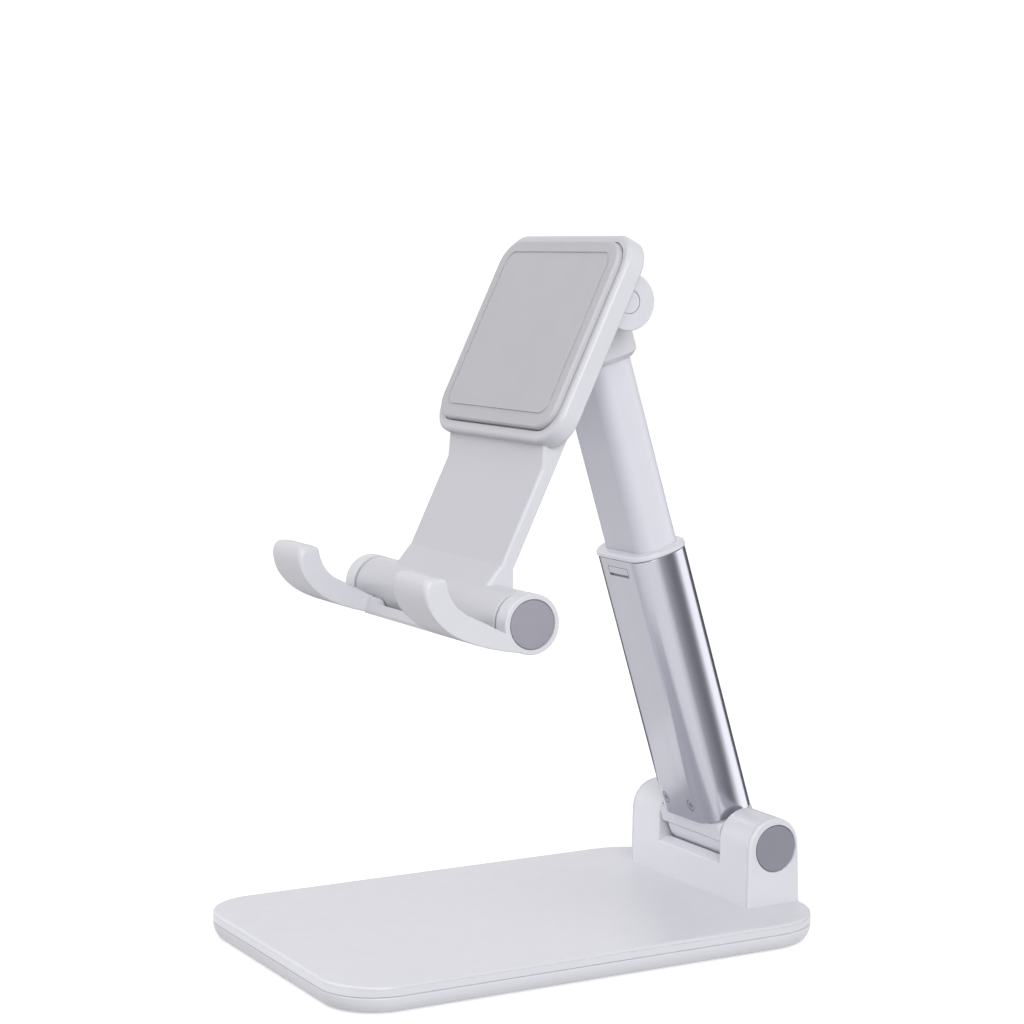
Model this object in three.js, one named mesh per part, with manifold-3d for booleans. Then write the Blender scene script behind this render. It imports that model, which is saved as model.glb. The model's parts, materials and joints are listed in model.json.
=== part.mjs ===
// Adjustable folding phone stand: weighted base, telescopic arm, tilting back rest and folding hooks.
// Millimetres, +Z up, +X across, -Y towards the user; the origin is the middle of the base's underside.
import * as THREE from "three";
import { mergeVertices } from "three/addons/utils/BufferGeometryUtils.js";
import Module from "manifold-3d";

const wasm = await Module();
wasm.setup();

// ---- driving dimensions ----
const ARC_STEPS = 5; // a quarter turn gets twice as many facets
const GAP = 0.3; // clearance between neighbouring pieces

const BASE_WIDTH = 75;
const BASE_LENGTH = 113;
const BASE_CORNER = { front: 12, rear: 14.5 };
const BASE_TOP = 5.8;
const SHELL_SEAM = 3.6; // the top shell meets the bottom tray here
const TRAY_FOOT = 0.5; // lowest edge of the bottom tray's rim
const TRAY_TAPER = 1.1; // how far that edge is pulled in
const MAT_THICKNESS = 1.0;
const COVER_SCREW = { x: 29, y: 47.5, head: 2.1, shank: 0.85 };

const TOWER_OUTER = 23.7; // outer face of a hinge tower, from the middle
const TOWER_INNER = 12.1;
const TOWER_RADIUS = 6.2;
const TOWER_DRAFT = 0.4;
const TOWER_SHIFT = { y: -0.35, z: 0.35 }; // the towers' arches against the hinge axis
const BASE_HINGE = { y: 50.2, z: 17.8 };
const FRONT_WALL_TOP = 12.8;
const BOLT_RADIUS = 1.9;
const BORE_RADIUS = BOLT_RADIUS + GAP;

const ARM_LEAN = THREE.MathUtils.degToRad(16.8); // from vertical, top towards the user
const TUBE = { width: 21.6, depth: 13.2, corner: 5, wall: 0.8, bottom: 5.1, top: 65.2, shift: -0.4 };
const COLLAR_TOP = 66.5;
const KNUCKLE = { radius: 5.3, half: 10.6, block: 11.8, front: 5.7, low: 1.4 };
const TAB = { half: 3.8, low: 61.4, high: 62.1 };
const TUBE_SCREW = { x: 4.9, up: 9, head: 1.25, shank: 0.7 };
const SLIDE_TUBE = { width: 18.4, depth: 10, corner: 3.9, wall: 1.2, bottom: 57, top: 111.4 };
const SHOE_BOTTOM = 53.3;
const SKIRT_BOTTOM = 61;
const HEAD = { bottom: 107.6, shoulder: 113, radius: 5.2, half: 10.8 };
const ARM_REACH = 120.6; // base hinge axis to tray hinge axis, as posed

const TRAY_LEAN = THREE.MathUtils.degToRad(26); // from vertical, top away from the user
const TRAY_HINGE = { a: -1.1, b: 68.55, radius: 5.9, inner: 12, outer: 20.4 };
const BARREL = { radius: 5.85, half: 30.9 };
const PLATE = { back: 1.8, face: 6.2, half: 26, bottom: 34.5, top: 80, corner: 7 };
const WEB = { back: -0.4, face: 2.6, half: 20.3 };
const REST_PAD = { face: 7.4, half: 24, bottom: 37, top: 78, corner: 5.5 };

const HOOK_OUTER = 36; // outer face of the hook bar's ears
const HOOK_EAR = 4; // thickness of an ear
const HOOK_WIDTH = 14.3;
const HOOK_RING = 5.95;
const SHELF = -3.7; // height of the hooks' flat, in the tray's frame
const BAR_FRONT = 5.9;
const CABLE_NOTCH = { half: 17.5, depth: 1.2 };
const CAP = { base: 4.85, hook: 4.75, thickness: 1 };
const WASHER_RADIUS = 4.6;

// ---- shape helpers ----
const BACK_ALONG_X = new THREE.Matrix4().makeBasis(
  new THREE.Vector3(0, 1, 0),
  new THREE.Vector3(0, 0, 1),
  new THREE.Vector3(1, 0, 0),
);

function solidOf(geometry) {
  const bare = new THREE.BufferGeometry();
  bare.setAttribute("position", geometry.getAttribute("position"));
  bare.setIndex(geometry.index);
  const merged = mergeVertices(bare, 1e-4);
  return new wasm.Manifold(
    new wasm.Mesh({
      numProp: 3,
      vertProperties: merged.attributes.position.array,
      triVerts: new Uint32Array(merged.index.array),
    }),
  );
}

function geometryOf(solid) {
  const mesh = solid.getMesh();
  const geometry = new THREE.BufferGeometry();
  geometry.setAttribute("position", new THREE.BufferAttribute(mesh.vertProperties, 3));
  geometry.setIndex(new THREE.BufferAttribute(mesh.triVerts, 1));
  geometry.computeVertexNormals();
  return geometry;
}

function join(...solids) {
  return solids.reduce((a, b) => a.add(b));
}

function cut(body, ...tools) {
  return tools.reduce((a, b) => a.subtract(b), body);
}

function mirrored(solid) {
  return solid.mirror([1, 0, 0]);
}

function bothSides(solid) {
  return solid.add(mirrored(solid));
}

// A rectangle with round corners, centred on the origin; the corners towards -Y may differ.
function roundedRect(width, depth, corner, front = corner) {
  const x = width / 2;
  const y = depth / 2;
  const shape = new THREE.Shape();
  shape.moveTo(x, y - corner);
  shape.absarc(x - corner, y - corner, corner, 0, Math.PI / 2);
  shape.absarc(corner - x, y - corner, corner, Math.PI / 2, Math.PI);
  shape.absarc(front - x, front - y, front, Math.PI, 1.5 * Math.PI);
  shape.absarc(x - front, front - y, front, 1.5 * Math.PI, 2 * Math.PI);
  return shape;
}

function outline(points) {
  return new THREE.Shape(points.map(([u, v]) => new THREE.Vector2(u, v)));
}

function extrude(shape, low, high, steps = ARC_STEPS) {
  const settings = { depth: high - low, bevelEnabled: false, curveSegments: steps };
  return new THREE.ExtrudeGeometry(shape, settings).translate(0, 0, low);
}

// A prism standing on the XY plane.
function upright(shape, low, high, steps) {
  return solidOf(extrude(shape, low, high, steps));
}

// A prism lying along X, its outline given as (y, z).
function crosswise(shape, low, high, steps) {
  return solidOf(extrude(shape, low, high, steps).applyMatrix4(BACK_ALONG_X));
}

function box(x0, x1, y0, y1, z0, z1) {
  const geometry = new THREE.BoxGeometry(x1 - x0, y1 - y0, z1 - z0);
  return solidOf(geometry.translate((x0 + x1) / 2, (y0 + y1) / 2, (z0 + z1) / 2));
}

// A round bar along X about the point (y, z).
function barX(radius, x0, x1, y = 0, z = 0, sides = 8 * ARC_STEPS) {
  const geometry = new THREE.CylinderGeometry(radius, radius, x1 - x0, sides);
  return solidOf(geometry.rotateZ(Math.PI / 2).translate((x0 + x1) / 2, y, z));
}

// A round post along Z.
function postZ(radius, z0, z1, x = 0, y = 0, sides = 20) {
  const geometry = new THREE.CylinderGeometry(radius, radius, z1 - z0, sides);
  return solidOf(geometry.rotateX(Math.PI / 2).translate(x, y, (z0 + z1) / 2));
}

// A skin over rounded rectangles at rising heights, each given as [z, shape].
function tower(levels) {
  const rings = levels.map(([z, shape]) =>
    shape
      .getPoints(ARC_STEPS)
      .slice(0, -1)
      .map((p) => [p.x, p.y, z]),
  );
  const count = rings[0].length;
  const last = rings.length - 1;
  const positions = rings.flat(2);
  positions.push(0, 0, levels[0][0], 0, 0, levels[last][0]);
  const bottom = count * rings.length;
  const faces = [];
  for (let i = 0; i < count; i += 1) {
    const next = (i + 1) % count;
    faces.push(bottom, next, i);
    faces.push(bottom + 1, last * count + i, last * count + next);
    for (let k = 0; k < last; k += 1) {
      const low = k * count;
      const high = low + count;
      faces.push(low + i, low + next, high + next);
      faces.push(low + i, high + next, high + i);
    }
  }
  const geometry = new THREE.BufferGeometry();
  geometry.setAttribute("position", new THREE.Float32BufferAttribute(positions, 3));
  geometry.setIndex(faces);
  return solidOf(geometry);
}

// ---- materials ----
const FINISHES = {
  shell: { color: 0xe2e2e9, roughness: 0.32, metalness: 0 },
  slidingTube: { color: 0xd6d6df, roughness: 0.4, metalness: 0 },
  aluminium: { color: 0xb4b5c1, roughness: 0.3, metalness: 1 },
  steel: { color: 0x9b9ca2, roughness: 0.35, metalness: 1 },
  cap: { color: 0x8f8e98, roughness: 0.45, metalness: 0 },
  silicone: { color: 0xc9c9ce, roughness: 0.7, metalness: 0 },
  nylon: { color: 0xdedbd2, roughness: 0.55, metalness: 0 },
};

function piece(name, finish, solid) {
  const mesh = new THREE.Mesh(geometryOf(solid), new THREE.MeshStandardMaterial(FINISHES[finish]));
  mesh.name = name;
  return mesh;
}

// The same piece on both sides, made once for the right and mirrored for the left.
function pair(name, finish, right) {
  return [piece(name + "_right", finish, right), piece(name + "_left", finish, mirrored(right))];
}

function washer(x0, x1) {
  return cut(barX(WASHER_RADIUS, x0, x1, 0, 0, 24), barX(BORE_RADIUS, x0 - 1, x1 + 1, 0, 0, 16));
}

// ---- base ----
function insetRect(inset) {
  const width = BASE_WIDTH - 2 * inset;
  const length = BASE_LENGTH - 2 * inset;
  return roundedRect(width, length, BASE_CORNER.rear - inset, BASE_CORNER.front - inset);
}

function level(z, inset) {
  return [z, insetRect(inset)];
}

function atCoverScrews(make) {
  const places = [
    [COVER_SCREW.x, COVER_SCREW.y],
    [-COVER_SCREW.x, COVER_SCREW.y],
    [COVER_SCREW.x, -COVER_SCREW.y],
    [-COVER_SCREW.x, -COVER_SCREW.y],
  ];
  return places.map(([x, y]) => make(x, y));
}

function hingeTower() {
  const foot = TOWER_RADIUS + TOWER_DRAFT;
  const y = BASE_HINGE.y + TOWER_SHIFT.y;
  const z = BASE_HINGE.z + TOWER_SHIFT.z;
  const shape = new THREE.Shape();
  shape.moveTo(y - foot, SHELL_SEAM + GAP);
  shape.lineTo(y + foot, SHELL_SEAM + GAP);
  shape.lineTo(y + TOWER_RADIUS, z);
  shape.absarc(y, z, TOWER_RADIUS, 0, Math.PI);
  return crosswise(shape, TOWER_INNER, TOWER_OUTER, 2 * ARC_STEPS);
}

function hingeSaddle() {
  const { y, z } = BASE_HINGE;
  const front = y + TOWER_SHIFT.y - TOWER_RADIUS - TOWER_DRAFT;
  const rear = y + TOWER_SHIFT.y + TOWER_RADIUS;
  const block = outline([
    [front, SHELL_SEAM + GAP],
    [rear, SHELL_SEAM + GAP],
    [rear, z - 7.8],
    [y + 1, z - 7.8],
    [y - 2, z - 4],
    [front + 2.3, z - 4],
    [front + 0.2, FRONT_WALL_TOP],
  ]);
  const saddle = crosswise(block, -TOWER_INNER - 0.5, TOWER_INNER + 0.5);
  return cut(saddle, barX(KNUCKLE.radius + 0.45, -TOWER_INNER, TOWER_INNER, y, z));
}

function hingeBores() {
  const { y, z } = BASE_HINGE;
  const reach = TOWER_OUTER + 1;
  return [
    barX(BORE_RADIUS, -reach, reach, y, z, 24),
    bothSides(barX(4.1, 18.6, reach, y, z, 24)),
    bothSides(barX(CAP.base + 0.15, TOWER_OUTER - CAP.thickness - 0.2, reach, y, z)),
  ];
}

function baseTopShell() {
  const plate = upright(insetRect(0), SHELL_SEAM, BASE_TOP);
  const lip = cut(
    upright(insetRect(2.2), SHELL_SEAM - 0.8, SHELL_SEAM + 0.2),
    upright(insetRect(3.3), SHELL_SEAM - 2, SHELL_SEAM),
  );
  const bosses = atCoverScrews((x, y) => postZ(2.8, 2.9, SHELL_SEAM + 0.2, x, y));
  const pilots = atCoverScrews((x, y) => postZ(COVER_SCREW.shank + 0.2, 2.5, 4.9, x, y, 12));
  const body = join(plate, lip, ...bosses, bothSides(hingeTower()), hingeSaddle());
  return cut(body, ...pilots, ...hingeBores());
}

function baseBottomTray() {
  const outer = tower([level(TRAY_FOOT, TRAY_TAPER), level(1.6, 0.35), level(SHELL_SEAM - 0.25, 0.1)]);
  const room = upright(insetRect(1.9), 2.5, SHELL_SEAM + 1);
  const matRecess = upright(insetRect(3.2), -1, MAT_THICKNESS + GAP);
  const holes = atCoverScrews((x, y) => postZ(COVER_SCREW.shank + 0.3, 0, 4, x, y, 12));
  const sinks = atCoverScrews((x, y) => postZ(COVER_SCREW.head + 0.25, 0, 2, x, y));
  return cut(outer, room, matRecess, ...holes, ...sinks);
}

function weightPlate() {
  const plate = upright(insetRect(3.7), 2.75, SHELL_SEAM - 0.3);
  return cut(plate, ...atCoverScrews((x, y) => postZ(3.2, 2, 5, x, y)));
}

function coverScrew(x, y) {
  const head = postZ(COVER_SCREW.head, 1.35, 1.85, x, y);
  const shank = postZ(COVER_SCREW.shank, 1.8, 4.6, x, y, 12);
  const cross = join(
    box(x - 1.2, x + 1.2, y - 0.25, y + 0.25, 1, 1.6),
    box(x - 0.25, x + 0.25, y - 1.2, y + 1.2, 1, 1.6),
  );
  return cut(join(head, shank), cross);
}

function baseHingeBolt() {
  const head = barX(3.7, 19, 21.6);
  const socket = barX(1.9, 20.2, 23, 0, 0, 6);
  return cut(join(barX(BOLT_RADIUS, -21.4, 19.1, 0, 0, 24), head), socket);
}

function baseHingeNut() {
  return cut(barX(3.8, -21, -18.9, 0, 0, 6), barX(BORE_RADIUS, -22, -18, 0, 0, 24));
}

function hingeCap(radius, outerFace) {
  const inner = outerFace - CAP.thickness;
  return join(barX(radius, inner, outerFace - 0.1), barX(radius - 0.3, inner, outerFace));
}

function baseBody() {
  const group = new THREE.Group();
  group.add(piece("base_top_shell", "shell", baseTopShell()));
  group.add(piece("base_bottom_tray", "shell", baseBottomTray()));
  group.add(piece("base_weight_plate", "steel", weightPlate()));
  const mat = upright(insetRect(3.5), 0, MAT_THICKNESS);
  group.add(piece("base_anti_slip_mat", "silicone", mat));
  const corners = ["rear_right", "rear_left", "front_right", "front_left"];
  atCoverScrews(coverScrew).forEach((screw, i) => {
    group.add(piece("base_cover_screw_" + corners[i], "steel", screw));
  });
  const hinge = new THREE.Group();
  hinge.position.set(0, BASE_HINGE.y, BASE_HINGE.z);
  hinge.add(piece("base_hinge_bolt", "steel", baseHingeBolt()));
  hinge.add(piece("base_hinge_nut", "steel", baseHingeNut()));
  hinge.add(...pair("base_hinge_cap", "cap", hingeCap(CAP.base, TOWER_OUTER)));
  hinge.add(...pair("base_hinge_washer", "steel", washer(KNUCKLE.half + GAP, TOWER_INNER - GAP)));
  group.add(hinge);
  return group;
}

// ---- arm, drawn with its base hinge axis at the origin and the tubes along +Z ----
// A prism along a tube, its outline grown by offset; the outer tube sits a little in front of the inner one.
function along(tube, offset, low, high) {
  const shape = roundedRect(tube.width + 2 * offset, tube.depth + 2 * offset, tube.corner + offset);
  return upright(shape, low, high).translate([0, tube.shift ?? 0, 0]);
}

function hollow(tube, low, high) {
  return cut(along(tube, 0, low, high), along(tube, -tube.wall, low - 1, high + 1));
}

function atTubeScrews(make) {
  return [make(TUBE_SCREW.x), make(-TUBE_SCREW.x)];
}

// A round hole or bar along Y, from the front face inwards.
function barY(radius, y0, y1, x, z, sides = 16) {
  const geometry = new THREE.CylinderGeometry(radius, radius, y1 - y0, sides);
  return solidOf(geometry.translate(x, (y0 + y1) / 2, z));
}

function lowerKnuckle() {
  const shoulder = TUBE.bottom - GAP;
  const above = box(-20, 20, -20, 20, shoulder - 0.1, 20);
  const barrel = cut(barX(KNUCKLE.radius, -KNUCKLE.half, KNUCKLE.half), above);
  const neck = cut(
    box(-KNUCKLE.block, KNUCKLE.block, -KNUCKLE.front, KNUCKLE.front, KNUCKLE.low, shoulder),
    bothSides(barX(WASHER_RADIUS + GAP, KNUCKLE.half, KNUCKLE.block + 1)),
  );
  const plug = along(TUBE, -TUBE.wall - GAP, 2, TUBE.bottom + 5.4);
  const pilots = atTubeScrews((x) => barY(TUBE_SCREW.shank + 0.25, -8, -1.8, x, TUBE_SCREW.up));
  return cut(join(barrel, neck, plug), barX(BORE_RADIUS, -20, 20, 0, 0, 24), ...pilots);
}

function lowerTube() {
  const front = TUBE.shift - TUBE.depth / 2;
  const hole = TUBE_SCREW.head + 0.2;
  const holes = atTubeScrews((x) => barY(hole, front - 1, front + 1.2, x, TUBE_SCREW.up, 20));
  const tabSlot = box(-TAB.half, TAB.half, front - 1, front + 1.2, TAB.low, TAB.high);
  return cut(hollow(TUBE, TUBE.bottom, TUBE.top), ...holes, tabSlot);
}

function tubeScrew(x) {
  const front = TUBE.shift - TUBE.depth / 2;
  const head = barY(TUBE_SCREW.head, front, front + 0.8, x, TUBE_SCREW.up, 20);
  const shank = barY(TUBE_SCREW.shank, front + 0.7, front + 4.4, x, TUBE_SCREW.up, 12);
  const z = TUBE_SCREW.up;
  const cross = join(
    box(x - 0.8, x + 0.8, front - 1, front + 0.35, z - 0.16, z + 0.16),
    box(x - 0.16, x + 0.16, front - 1, front + 0.35, z - 0.8, z + 0.8),
  );
  return cut(join(head, shank), cross);
}

function tubeCollar() {
  const flange = along(TUBE, 0.1, TUBE.top + 0.1, COLLAR_TOP);
  const skirt = along(TUBE, -TUBE.wall - 0.2, SKIRT_BOTTOM, TUBE.top + 0.3);
  const openBack = box(-20, 20, 3.5, 20, SKIRT_BOTTOM - 1, TUBE.top + 0.1);
  return cut(join(flange, cut(skirt, openBack)), along(SLIDE_TUBE, 0.2, SKIRT_BOTTOM - 1, COLLAR_TOP + 1));
}

function slideShoe() {
  const runner = along(TUBE, -TUBE.wall - GAP, SHOE_BOTTOM, SLIDE_TUBE.bottom - 0.2);
  const spigot = along(SLIDE_TUBE, -SLIDE_TUBE.wall - GAP, SLIDE_TUBE.bottom - 1, SLIDE_TUBE.bottom + 3.4);
  const springPocket = box(-4.4, 4.4, 3.7, 8, SHOE_BOTTOM + 0.5, SLIDE_TUBE.bottom - 0.7);
  const lightening = upright(roundedRect(9, 3, 1.4), SHOE_BOTTOM - 1, 62, 4);
  return cut(join(runner, spigot), springPocket, lightening);
}

function frictionSpring() {
  const low = SHOE_BOTTOM + 0.7;
  const high = SLIDE_TUBE.bottom - 0.9;
  const middle = (low + high) / 2;
  const leaf = new THREE.Shape();
  leaf.moveTo(4.4, low);
  leaf.quadraticCurveTo(6.2, middle, 4.4, high);
  leaf.lineTo(4.75, high);
  leaf.quadraticCurveTo(6.6, middle, 4.75, low);
  return crosswise(leaf, -4, 4, 8).translate([0, TUBE.shift, 0]);
}

function armHead() {
  const { width, depth, corner } = TUBE;
  const shell = tower([
    [HEAD.bottom, roundedRect(width - 2, depth - 2, corner - 1)],
    [HEAD.bottom + 1, roundedRect(width, depth, corner)],
    [HEAD.shoulder, roundedRect(width, depth, corner)],
    [ARM_REACH - 2.5, roundedRect(width - 0.2, 2 * HEAD.radius - 0.4, 4.6)],
  ]);
  const barrel = barX(HEAD.radius, -HEAD.half, HEAD.half, 0, ARM_REACH);
  const socket = along(SLIDE_TUBE, GAP, HEAD.bottom - 1, SLIDE_TUBE.top + GAP);
  return cut(join(shell, barrel), socket, barX(BORE_RADIUS, -20, 20, 0, ARM_REACH, 24));
}

function armBodies() {
  const group = new THREE.Group();
  group.position.set(0, BASE_HINGE.y, BASE_HINGE.z);
  group.rotation.x = ARM_LEAN;
  group.add(piece("lower_knuckle", "shell", lowerKnuckle()));
  group.add(piece("lower_tube", "aluminium", lowerTube()));
  const [rightScrew, leftScrew] = atTubeScrews(tubeScrew);
  group.add(piece("lower_tube_screw_right", "steel", rightScrew));
  group.add(piece("lower_tube_screw_left", "steel", leftScrew));
  group.add(piece("lower_tube_collar", "shell", tubeCollar()));
  group.add(piece("sliding_tube", "slidingTube", hollow(SLIDE_TUBE, SLIDE_TUBE.bottom, SLIDE_TUBE.top)));
  group.add(piece("sliding_tube_shoe", "nylon", slideShoe()));
  group.add(piece("slide_friction_spring", "steel", frictionSpring()));
  group.add(piece("arm_head", "shell", armHead()));
  return group;
}

// ---- tray and hooks, drawn with the hook hinge axis at the origin, up along the tray = +Z ----
// Outlines here are (forward, up); forward is -Y.
function sideways(points) {
  return outline(points.map(([forward, up]) => [-forward, up]));
}

function slab(back, face, half, low, high, corner) {
  const shape = roundedRect(2 * half, high - low, corner);
  const geometry = extrude(shape, back, face).rotateX(Math.PI / 2).translate(0, 0, (low + high) / 2);
  return solidOf(geometry);
}

function trayPlate() {
  const { a, b, radius, inner, outer } = TRAY_HINGE;
  const barrel = barX(BARREL.radius, -BARREL.half, BARREL.half);
  const web = box(-WEB.half, WEB.half, -WEB.face, -WEB.back, 3, PLATE.bottom + 6);
  const plate = slab(PLATE.back, PLATE.face, PLATE.half, PLATE.bottom, PLATE.top, PLATE.corner);
  const filletSide = sideways([
    [WEB.back, 30],
    [WEB.face, 30],
    [PLATE.face - 0.6, PLATE.bottom + 3.5],
    [WEB.back, PLATE.bottom + 8],
  ]);
  const fillet = crosswise(filletSide, -WEB.half, WEB.half);
  const brace = sideways([[a, b - radius], [3, b - radius - 4], [3, b + radius + 2], [a, b + radius]]);
  const ear = join(barX(radius, inner, outer, -a, b), crosswise(brace, inner, outer));
  const armRoom = box(-inner, inner, -4.5, 12, 37, PLATE.top + 1);
  const pad = REST_PAD;
  const padRecess = slab(pad.face - 1.7, 9, pad.half + GAP, pad.bottom - GAP, pad.top + GAP, pad.corner + GAP);
  const body = join(barrel, web, plate, fillet, bothSides(ear));
  return cut(
    body,
    armRoom,
    padRecess,
    barX(BORE_RADIUS, -40, 40, 0, 0, 24),
    barX(BORE_RADIUS, -40, 40, -a, b, 24),
    bothSides(barX(2.7, 18.3, 22, -a, b, 24)),
  );
}

function trayHingePlug() {
  return barX(2.4, 18.6, TRAY_HINGE.outer - 0.1, 0, 0, 24);
}

function trayBody() {
  const group = new THREE.Group();
  group.add(piece("tray_plate", "shell", trayPlate()));
  const { face, half, bottom, top, corner } = REST_PAD;
  group.add(piece("tray_rest_pad", "silicone", slab(face - 1.4, face, half, bottom, top, corner)));
  const hinge = new THREE.Group();
  hinge.position.set(0, -TRAY_HINGE.a, TRAY_HINGE.b);
  hinge.add(piece("tray_hinge_pin", "steel", barX(BOLT_RADIUS, -18.2, 18.2, 0, 0, 24)));
  hinge.add(...pair("tray_hinge_plug", "shell", trayHingePlug()));
  hinge.add(...pair("tray_hinge_washer", "steel", washer(HEAD.half + GAP, TRAY_HINGE.inner - GAP)));
  group.add(hinge);
  return group;
}

// The hook's inner face: flat shelf, then a hollow curve up to the tip.
function hookInnerCurve() {
  return new THREE.CubicBezierCurve(
    new THREE.Vector2(12.8, SHELF),
    new THREE.Vector2(16.4, SHELF),
    new THREE.Vector2(18.6, -2.5),
    new THREE.Vector2(20.5, -0.05),
  );
}

function hookFinger() {
  const shape = new THREE.Shape();
  shape.moveTo(0, -HOOK_RING);
  shape.lineTo(0, SHELF);
  shape.lineTo(12.8, SHELF);
  shape.bezierCurveTo(16.4, SHELF, 18.6, -2.5, 20.5, -0.05);
  shape.bezierCurveTo(20.9, 0.5, 21.3, 0.85, 21.9, 0.65);
  shape.lineTo(23.4, 0.1);
  shape.bezierCurveTo(24.4, -0.3, 25, -1.1, 24.5, -2.6);
  shape.bezierCurveTo(23.6, -5.2, 19.5, -8.4, 13.5, -8.4);
  shape.bezierCurveTo(8.5, -8.4, 4, -7.2, 0, -HOOK_RING);
  const facing = new THREE.Shape(shape.getPoints(8).map((p) => new THREE.Vector2(-p.x, p.y)));
  return crosswise(facing, HOOK_OUTER - HOOK_WIDTH, HOOK_OUTER);
}

function hookBar() {
  const ear = barX(HOOK_RING, HOOK_OUTER - HOOK_EAR, HOOK_OUTER);
  const bridge = crosswise(
    sideways([[2, -6.7], [2, SHELF - 0.3], [BAR_FRONT, SHELF - 0.3], [BAR_FRONT - 0.3, -7.1], [4.9, -7.6]]),
    HOOK_WIDTH - HOOK_OUTER - 0.5,
    HOOK_OUTER - HOOK_WIDTH + 0.5,
  );
  const clearance = HOOK_OUTER - HOOK_EAR;
  const barrelRoom = barX(BARREL.radius + GAP, -clearance, clearance);
  const behindBarrel = box(-clearance, clearance, -2, 20, -20, 20);
  const top = SHELF - 0.3;
  const notch = box(-CABLE_NOTCH.half, CABLE_NOTCH.half, -BAR_FRONT - 1, 0, top - CABLE_NOTCH.depth, 2);
  const tipRounding = bothSides(tipCorners());
  const body = join(bothSides(join(ear, hookFinger())), bridge);
  return cut(
    body,
    barrelRoom,
    behindBarrel,
    notch,
    tipRounding,
    bothSides(hookPadSolid(GAP)),
    barX(BORE_RADIUS, -40, 40, 0, 0, 24),
    bothSides(barX(CAP.hook + 0.15, HOOK_OUTER - CAP.thickness - 0.2, HOOK_OUTER + 1)),
  );
}

// What is trimmed off a hook so that its tip has round corners, seen from above the shelf.
function tipCorners() {
  const radius = 1.6;
  const low = HOOK_OUTER - HOOK_WIDTH;
  const tipReach = 24.8;
  const around = box(low - 1, HOOK_OUTER + 1, -tipReach - 2, -tipReach + radius, -12, 4);
  const kept = new THREE.Shape();
  kept.moveTo(low, -10);
  kept.lineTo(low, radius - tipReach);
  kept.absarc(low + radius, radius - tipReach, radius, Math.PI, 1.5 * Math.PI);
  kept.absarc(HOOK_OUTER - radius, radius - tipReach, radius, 1.5 * Math.PI, 2 * Math.PI);
  kept.lineTo(HOOK_OUTER, -10);
  return cut(around, upright(kept, -20, 20, 6));
}

// The silicone strip set into a hook's inner face; grown by margin, it is also the recess it sits in.
function hookPadSolid(margin) {
  const depth = 0.6 + margin;
  const proud = margin ? 3 : 0.25;
  const start = 7 - margin;
  const curve = hookInnerCurve();
  const reach = margin ? 0.84 : 0.8;
  const samples = Array.from({ length: 7 }, (_, i) => (reach * i) / 6);
  const shifted = (shift) =>
    samples.map((t) => {
      const p = curve.getPoint(t);
      const slope = curve.getTangent(t);
      return [p.x - slope.y * shift, p.y + slope.x * shift];
    });
  const under = [[start, SHELF - depth], ...shifted(-depth)];
  const over = [...shifted(proud).reverse(), [start, SHELF + proud]];
  const middle = HOOK_OUTER - HOOK_WIDTH / 2;
  return crosswise(sideways([...under, ...over]), middle - 5 - margin, middle + 5 + margin);
}

function hookBody() {
  const group = new THREE.Group();
  group.add(piece("hook_bar", "shell", hookBar()));
  group.add(...pair("hook_pad", "silicone", hookPadSolid(0)));
  group.add(piece("hook_hinge_pin", "steel", barX(BOLT_RADIUS, -34.4, 34.4, 0, 0, 24)));
  group.add(...pair("hook_hinge_cap", "cap", hingeCap(CAP.hook, HOOK_OUTER)));
  const washerFace = HOOK_OUTER - HOOK_EAR - 0.25;
  group.add(...pair("hook_hinge_washer", "nylon", washer(BARREL.half + 0.25, washerFace)));
  return group;
}

function trayAndHooks() {
  const group = new THREE.Group();
  const reach = new THREE.Vector3(0, 0, ARM_REACH).applyAxisAngle(new THREE.Vector3(1, 0, 0), ARM_LEAN);
  const hingeInTray = new THREE.Vector3(0, -TRAY_HINGE.a, TRAY_HINGE.b);
  hingeInTray.applyAxisAngle(new THREE.Vector3(1, 0, 0), -TRAY_LEAN);
  group.position.set(0, BASE_HINGE.y, BASE_HINGE.z).add(reach).sub(hingeInTray);
  group.rotation.x = -TRAY_LEAN;
  group.add(trayBody(), hookBody());
  return group;
}

const stand = new THREE.Group();
stand.add(baseBody(), armBodies(), trayAndHooks());

export default stand;
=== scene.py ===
"""Folding phone stand: the detailed pieces, their materials, the studio light and the camera."""

import json
import math

import bpy
from mathutils import Matrix, Vector

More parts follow.
